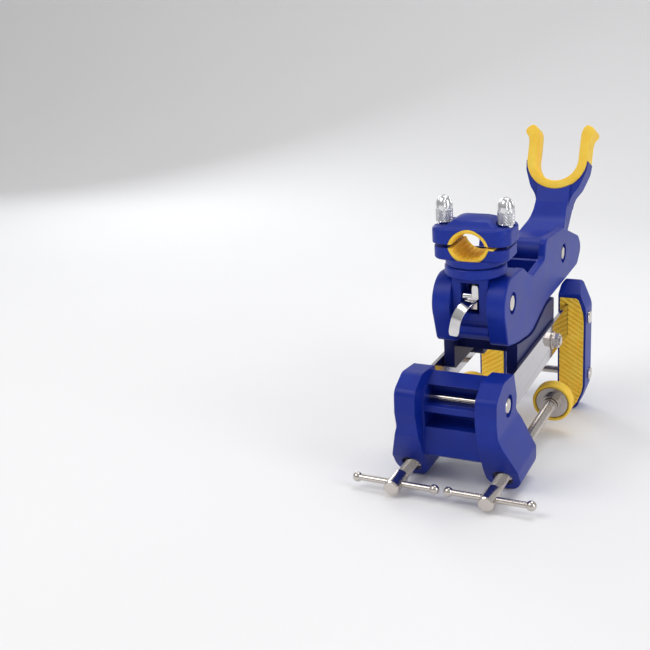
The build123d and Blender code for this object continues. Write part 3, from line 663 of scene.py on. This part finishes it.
def cradleLiner():
    # a U of 16-point sections, wide at the rims and in the prongs
    c = cradle
    lean = radians(c["lean"])
    deep, soft, rim = c["deep"], c["round"], c["rim"]
    outer = c["r"] + c["lip"]

    def section(place, inner, outer, seat):
        bend = soft * 0.3
        loop = [(inner + soft, 0), (inner + bend, bend), (inner, soft),
                (inner, deep - soft), (inner + bend, deep - bend), (inner + soft, deep),
                (outer - soft, deep), (outer - bend, deep - bend), (outer, deep - soft),
                (outer, deep - rim), (seat, deep - rim), (seat, rim), (outer, rim),
                (outer, soft), (outer - bend, bend), (outer - soft, 0)]
        ring = []
        for out, v in loop:
            x, w = place(out)
            ring.append((x, c["y"] + v * cos(lean) + w * sin(lean),
                         c["z"] - v * sin(lean) + w * cos(lean)))
        return ring

    def prong(side):
        # from the seam, where the body's ring ends, up to the curled tip
        rows = [(c["seam"], c["r"], outer, c["r"] + c["seat"])]
        rows += [(w, c["r"], outer, outer) for w in (c["seam"] + 0.01, 8)]
        rows += [(w, inner, out, out) for w, inner, out in c["tip"]]
        return [section(lambda out, w=w: (side * out, w), inner, out, seat)
                for w, inner, out, seat in rows]

    rings = prong(-1)[::-1]
    for i in range(1, c["around"]):
        turn = pi + pi * i / c["around"]
        rings.append(section(lambda out, t=turn: (out * cos(t), out * sin(t)), c["r"], outer,
                             c["r"] + c["seat"]))
    rings += prong(1)
    points, faces = closedLathe(rings, 16)
    piece = meshPiece("cradleLiner", points, faces, "yellow_rubber", "cradle_arm",
                      ["cradle_liner"], 50)


cradleLiner()
print("cradle liner curled")

# ---- safety lever: a bent strip on a barrel, with an upright tongue in the window

lever = {"wide": 8.6, "thick": 1.5, "barrelR": 3.4, "half": 6.9, "y": 35.0, "z": 131.0,
         "chamfer": 0.4, "tongueX": 4.0, "tongueWide": 5.6,
         "tongue": [(-3.2, -0.5), (-3.4, 5.0), (-3.6, 10.0)],
         "path": [(1.6, 33.5, 128.6), (1.2, 30.0, 128.2), (0.0, 26.5, 127.6),
                  (-2.2, 23.2, 126.0), (-4.8, 20.6, 122.6), (-7.0, 18.9, 118.0),
                  (-8.3, 17.9, 113.0), (-9.0, 17.0, 108.0), (-9.3, 16.4, 103.2)]}


def ribbon(path, wide, thick, fine=6):
    # a flat strip along a smooth path, its width across X and its far end rounded
    line = []
    spots = [Vector(spot) for spot in path]
    for i in range(len(spots) - 1):
        before, after = spots[max(i - 1, 0)], spots[min(i + 2, len(spots) - 1)]
        for step in range(fine):
            t = step / fine
            line.append(0.5 * (2 * spots[i] + (spots[i + 1] - before) * t
                               + (2 * before - 5 * spots[i] + 4 * spots[i + 1] - after) * t * t
                               + (3 * spots[i] - before - 3 * spots[i + 1] + after) * t ** 3))
    line.append(spots[-1])
    rings = []
    for i, spot in enumerate(line):
        ahead = (line[min(i + 1, len(line) - 1)] - line[max(i - 1, 0)]).normalized()
        normal = ahead.cross(Vector((1, 0, 0))).normalized()
        side = normal.cross(ahead).normalized()
        if side.x < 0:
            side = -side
        end = min(1.0, sqrt(max(0.0, 1 - max(0.0, i - len(line) + 6) ** 2 / 45)))
        ring = []
        for u, v in ((-0.5, -0.28), (-0.47, -0.5), (0.47, -0.5), (0.5, -0.28), (0.5, 0.28),
                     (0.47, 0.5), (-0.47, 0.5), (-0.5, 0.28)):
            ring.append(tuple(spot + side * (u * wide * end) + normal * (v * thick)))
        rings.append(ring)
    return closedLathe(rings, 8)


def safetyLever():
    v = lever
    tongue = [(v["tongueX"], v["y"] + dy, v["z"] + dz) for dy, dz in v["tongue"]]
    shells = [ribbon(v["path"], v["wide"], v["thick"]),
              ribbon(tongue, v["tongueWide"], v["thick"])]
    ends = ((-v["half"], v["barrelR"] - v["chamfer"]), (-v["half"] + v["chamfer"], v["barrelR"]),
            (v["half"] - v["chamfer"], v["barrelR"]), (v["half"], v["barrelR"] - v["chamfer"]))
    barrel = [[(x, v["y"] + r * cos(2 * pi * i / 32), v["z"] + r * sin(2 * pi * i / 32))
               for i in range(32)] for x, r in ends]
    shells.append(closedLathe(barrel, 32))
    points, faces = [], []
    for spots, skins in shells:
        base = len(points)
        points += spots
        faces += [tuple(base + i for i in skin) for skin in skins]
    meshPiece("safetyLever", points, faces, slotOf["safety_lever"], "lever", ["safety_lever"], 40)


safetyLever()
print("safety lever bent")

# ---- floor, light and camera

studio = {"floorSize": 6.0, "wallAt": 2.6, "wallHigh": 5.0, "bend": 1.4,
          "shade": (0.90, 0.90, 0.91), "bright": (0.93, 0.93, 0.94),
          "middle": Vector((0, 0, 0.12))}


def sweepFloor():
    s = studio
    line = [(-s["floorSize"], 0.0), (s["wallAt"] - s["bend"], 0.0)]
    line += [(s["wallAt"] - s["bend"] + s["bend"] * sin(pi / 2 * i / 16),
              s["bend"] - s["bend"] * cos(pi / 2 * i / 16)) for i in range(1, 17)]
    line.append((s["wallAt"], s["wallHigh"]))
    points = [(x, y, z) for x in (-s["floorSize"], s["floorSize"]) for y, z in line]
    count = len(line)
    mesh = bpy.data.meshes.new("sweepFloor")
    mesh.from_pydata(points, [], [(i, i + 1, count + i + 1, count + i) for i in range(count - 1)])
    for face in mesh.polygons:
        face.use_smooth = True
    made, p = material("paper")
    p.surface({"Base Color": p.mix(p.noise(0.4), s["shade"], s["bright"]), "Roughness": 0.9})
    mesh.materials.append(made)
    floor = bpy.data.objects.new("sweepFloor", mesh)
    bpy.context.collection.objects.link(floor)


sweepFloor()

lamps = {
    "keyLamp": {"at": (-1.1, -1.3, 1.7), "size": (1.1, 1.1), "watts": 15,
                "tint": (1.0, 0.98, 0.96)},
    "sideLamp": {"at": (1.5, -0.5, 0.7), "size": (0.6, 1.2), "watts": 8,
                 "tint": (0.97, 0.97, 1.0)},
    "topLamp": {"at": (0.1, 0.5, 1.9), "size": (1.2, 0.8), "watts": 10,
                "tint": (1.0, 1.0, 1.0)},
    "backLamp": {"at": (-1.2, 1.2, 0.9), "size": (0.5, 1.0), "watts": 5,
                 "tint": (0.96, 0.98, 1.0)},
}
for name, lamp in lamps.items():
    data = bpy.data.lights.new(name, "AREA")
    data.shape = "RECTANGLE"
    data.size, data.size_y = lamp["size"]
    data.energy = lamp["watts"]
    data.color = lamp["tint"]
    made = bpy.data.objects.new(name, data)
    made.location = lamp["at"]
    aim = studio["middle"] - Vector(lamp["at"])
    made.rotation_euler = aim.to_track_quat("-Z", "Y").to_euler()
    bpy.context.collection.objects.link(made)

world = bpy.data.worlds.new("studio")
bpy.context.scene.world = world
world.use_nodes = True
sky = Paint("studio", world.node_tree)
height = sky.node("ShaderNodeSeparateXYZ", {},
                  {0: sky.node("ShaderNodeTexCoord", {}, {}, "Generated")}, "Z")
air = {"stops": [(0.0, 0.30), (0.45, 0.55), (0.62, 0.95), (1.0, 1.0)], "strength": 0.5}
glow = sky.node("ShaderNodeValToRGB", {"stops": air["stops"]}, {0: height * 0.5 + 0.5})
light = sky.node("ShaderNodeBackground", {}, {"Color": glow, "Strength": air["strength"]})
sky.node("ShaderNodeOutputWorld", {}, {"Surface": light})
bpy.context.scene.view_settings.view_transform = "Standard"

camera = {"at": (0.256694, -0.880138, 0.335331), "ahead": (-0.432697, 0.866272, -0.249691),
          "right": (0.896800, 0.441945, -0.020816), "up": (-0.092317, 0.232930, 0.968102),
          "lens": 58.165}
view = bpy.data.cameras.new("camera")
view.lens = camera["lens"]
view.sensor_width = 36.0
view.clip_start, view.clip_end = 0.02, 30.0
eye = bpy.data.objects.new("camera", view)
turn = Matrix((camera["right"], camera["up"], [-a for a in camera["ahead"]])).transposed()
eye.matrix_world = Matrix.Translation(camera["at"]) @ turn.to_4x4()
bpy.context.collection.objects.link(eye)
bpy.context.scene.camera = eye
print("studio set")
